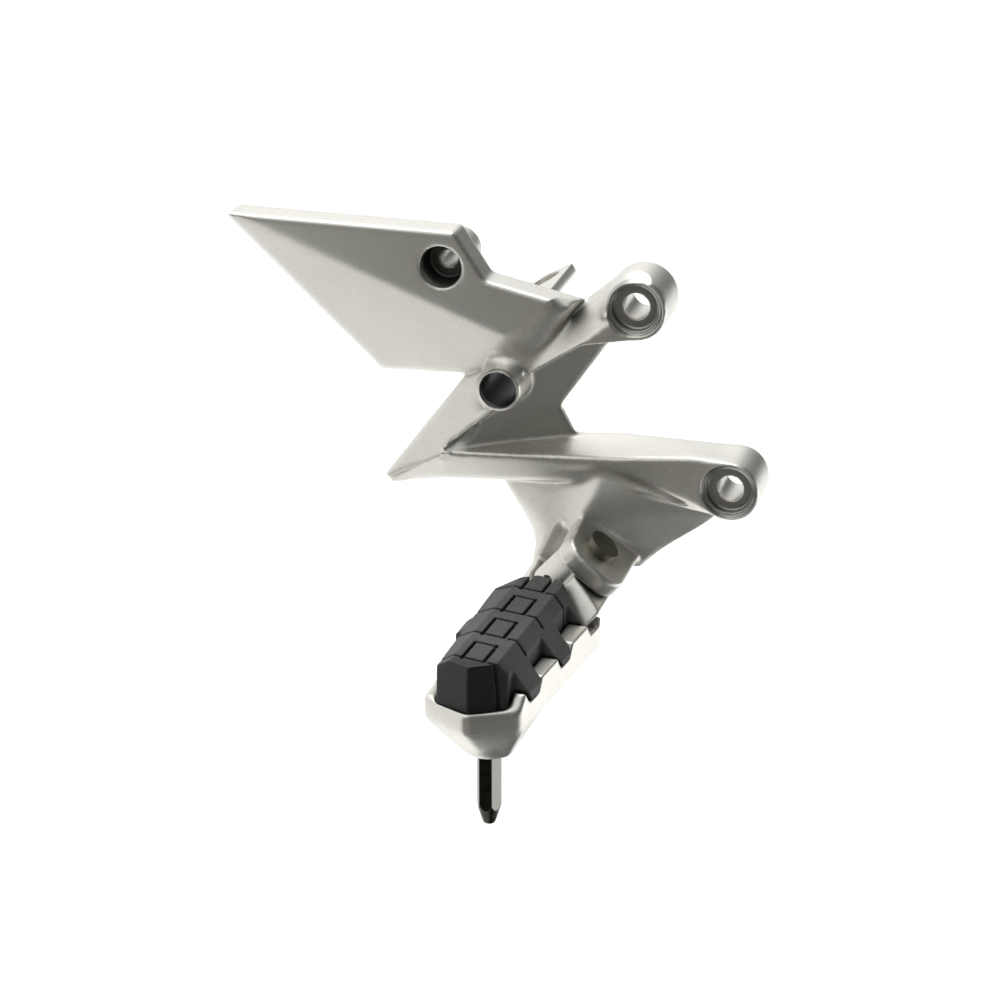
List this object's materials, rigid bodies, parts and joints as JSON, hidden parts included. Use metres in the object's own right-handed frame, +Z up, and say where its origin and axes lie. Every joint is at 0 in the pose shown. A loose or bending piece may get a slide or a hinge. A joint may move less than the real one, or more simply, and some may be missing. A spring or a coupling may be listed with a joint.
{
  "type": "motorcycle footpeg",
  "caption": "Rider's right-hand step of a motorcycle: faceted cast bracket with a heel guard, frame-bolt bosses and a folding peg with a rubber tread and a bank feeler.",
  "frame": {"origin": "on the axis of the upper frame bolt, at the inboard mounting face", "axes": "+X forward, +Y inboard towards the motorcycle, +Z up"},
  "size_m": [0.2164, 0.1699, 0.1967],
  "materials": {
    "silver_casting": "satin silver paint on cast aluminium",
    "tread_rubber": "matte moulded rubber",
    "black_steel": "black oiled steel",
    "olive_plated_steel": "dull olive zinc plating",
    "plated_steel": "zinc-plated steel"
  },
  "bodies": {
    "bracket": {"step_bracket": "silver_casting", "hinge_pin": "olive_plated_steel", "hinge_washer": "plated_steel", "split_pin": "plated_steel"},
    "peg": {"peg_body": "silver_casting", "tread_pad": "tread_rubber", "pad_plate": "plated_steel", "pad_bolt_inner": "plated_steel", "pad_bolt_outer": "plated_steel", "pad_washer_inner": "plated_steel", "pad_washer_outer": "plated_steel", "bank_feeler": "black_steel"}
  },
  "joints": [
    {"name": "peg_fold", "type": "hinge", "parent": "bracket", "child": "peg", "pos_m": [-0.0198, -0.04, -0.1081], "axis": [-0.6561, 0, -0.7547], "range_deg": [0, 70], "stiffness_Nm_per_rad": 0.6, "springref_deg": -28.65}
  ]
}
